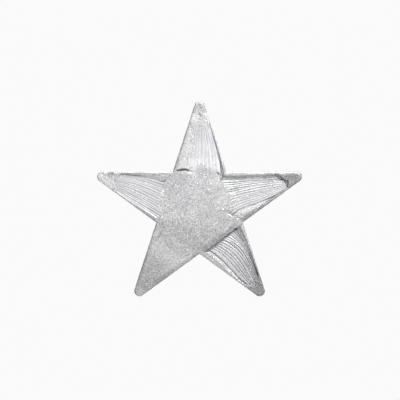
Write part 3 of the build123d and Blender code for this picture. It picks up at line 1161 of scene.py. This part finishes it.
CAMERA_DISTANCE = 1.2
FIELD = 0.4  # what the camera's frame spans at the star
SENSOR = 36.0
FRAME_MIDDLE = (0.0005, 0.0084)  # from the star's centre to the middle of the camera's frame, X and Z
FLOOR_DROP = 0.35  # from the star's lowest point to the floor
FLOOR_RADIUS = 1.3
# Each light: its place from the middle of the frame, its size in metres and its power in watts
LIGHTS = {
    "key": ((0.42, -0.50, 0.76), 0.35, 17.5),
    "fill": ((-0.5, -1.0, 0.5), 0.9, 2.5),
    "top": ((0.2, -0.1, 1.3), 1.2, 14.0),
    "back": ((-0.3, 0.9, 0.5), 0.7, 7.0),
}


def area_light(name, place, target, size, power):
    """A round light that faces the target."""
    data = bpy.data.lights.new(name, "AREA")
    data.shape = "DISK"
    data.size = size
    data.energy = power
    lamp = bpy.data.objects.new(name, data)
    lamp.location = place
    lamp.rotation_euler = (Vector(target) - Vector(place)).to_track_quat("-Z", "Y").to_euler()
    lamp.visible_camera = False
    bpy.context.scene.collection.objects.link(lamp)


class PAPERSTAR_OT_stage(bpy.types.Operator):
    """Set the camera, the lights, the floor and the pale surroundings"""
    bl_idname = "paperstar.stage"
    bl_label = "Set the stage"

    def execute(self, context):
        scene = context.scene
        scene.view_settings.view_transform = "Standard"
        middle = Vector((FRAME_MIDDLE[0], FACE_Y, CENTRE_Z + FRAME_MIDDLE[1]))
        camera = bpy.data.objects.new("camera", bpy.data.cameras.new("camera"))
        camera.data.sensor_width = SENSOR
        camera.data.lens = SENSOR * CAMERA_DISTANCE / FIELD
        camera.location = middle - Vector((0, CAMERA_DISTANCE, 0))
        camera.rotation_euler = (pi / 2, 0, 0)
        scene.collection.objects.link(camera)
        scene.camera = camera
        for name, (offset, size, power) in LIGHTS.items():
            area_light(name, middle + Vector(offset), middle, size, power)
        self.surroundings(scene)
        self.floor()
        return {"FINISHED"}

    def surroundings(self, scene):
        """Pale surroundings that light the star softly, and more from above than from below."""
        world = bpy.data.worlds.new("surroundings")
        tree = NodeTree(world)
        around = tree.node("ShaderNodeTexCoord").outputs["Generated"]
        height = tree.node("ShaderNodeSeparateXYZ", vector=around).outputs["Z"]
        light = tree.first("BACKGROUND")
        tree.feed(light.inputs["Color"], (1, 1, 1, 1))
        tree.feed(light.inputs["Strength"], tree.span(height, -1, 1, 0.12, 0.5))
        seen = tree.node("ShaderNodeBackground", color=(0.96, 0.96, 0.965, 1))
        camera_ray = tree.node("ShaderNodeLightPath").outputs["Is Camera Ray"]
        either = tree.node("ShaderNodeMixShader", fac=camera_ray)
        tree.feed(either.inputs[1], light.outputs["Background"])
        tree.feed(either.inputs[2], seen.outputs["Background"])
        tree.feed(tree.first("OUTPUT_WORLD").inputs["Surface"], either.outputs["Shader"])
        scene.world = world

    def floor(self):
        """A plain pale floor well below the star, which lights it from below and isn't seen itself."""
        low = CAD_BOX[0][2] - FLOOR_DROP
        turns = np.linspace(0, 2 * pi, 96, endpoint=False)
        ring = [(FLOOR_RADIUS * cos(turn), FLOOR_RADIUS * sin(turn), low) for turn in turns]
        floor = new_mesh("floor", ring, [tuple(range(len(ring)))], smooth=False)
        made = Finish("floor")
        grain = made.noise(made.place(), 30.0)
        made.set(base_color=made.tones(grain, ((0.3, 0.76), (0.7, 0.8))), roughness=0.9)
        floor.data.materials.append(made.material)
        floor.visible_camera = False


class PAPERSTAR_PT_panel(bpy.types.Panel):
    """The paper star's operators and settings"""
    bl_idname = "PAPERSTAR_PT_panel"
    bl_label = "Paper star"
    bl_space_type = "VIEW_3D"
    bl_region_type = "UI"
    bl_category = "Paper star"

    def draw(self, context):
        for settings in (context.scene.paperstar_sizes, context.scene.paperstar_colours):
            for key in settings.__annotations__:
                self.layout.prop(settings, key)
        for operator in OPERATORS:
            self.layout.operator(operator.bl_idname)


OPERATORS = (
    PAPERSTAR_OT_stage,
    PAPERSTAR_OT_board,
    PAPERSTAR_OT_rim,
    PAPERSTAR_OT_underlays,
    PAPERSTAR_OT_leaves,
    PAPERSTAR_OT_patch,
    PAPERSTAR_OT_glitter,
)
CLASSES = (PAPERSTAR_PG_sizes, PAPERSTAR_PG_colours, *OPERATORS, PAPERSTAR_PT_panel)


def register():
    for kind in CLASSES:
        bpy.utils.register_class(kind)
    bpy.types.Scene.paperstar_sizes = bpy.props.PointerProperty(type=PAPERSTAR_PG_sizes)
    bpy.types.Scene.paperstar_colours = bpy.props.PointerProperty(type=PAPERSTAR_PG_colours)


def unregister():
    del bpy.types.Scene.paperstar_colours
    del bpy.types.Scene.paperstar_sizes
    for kind in reversed(CLASSES):
        bpy.utils.unregister_class(kind)


def main():
    register()
    bpy.ops.paperstar.stage()
    bpy.ops.paperstar.board()
    bpy.ops.paperstar.rim()
    bpy.ops.paperstar.underlays()
    bpy.ops.paperstar.leaves()
    bpy.ops.paperstar.patch()
    bpy.ops.paperstar.glitter()


if __name__ == "__main__":
    main()
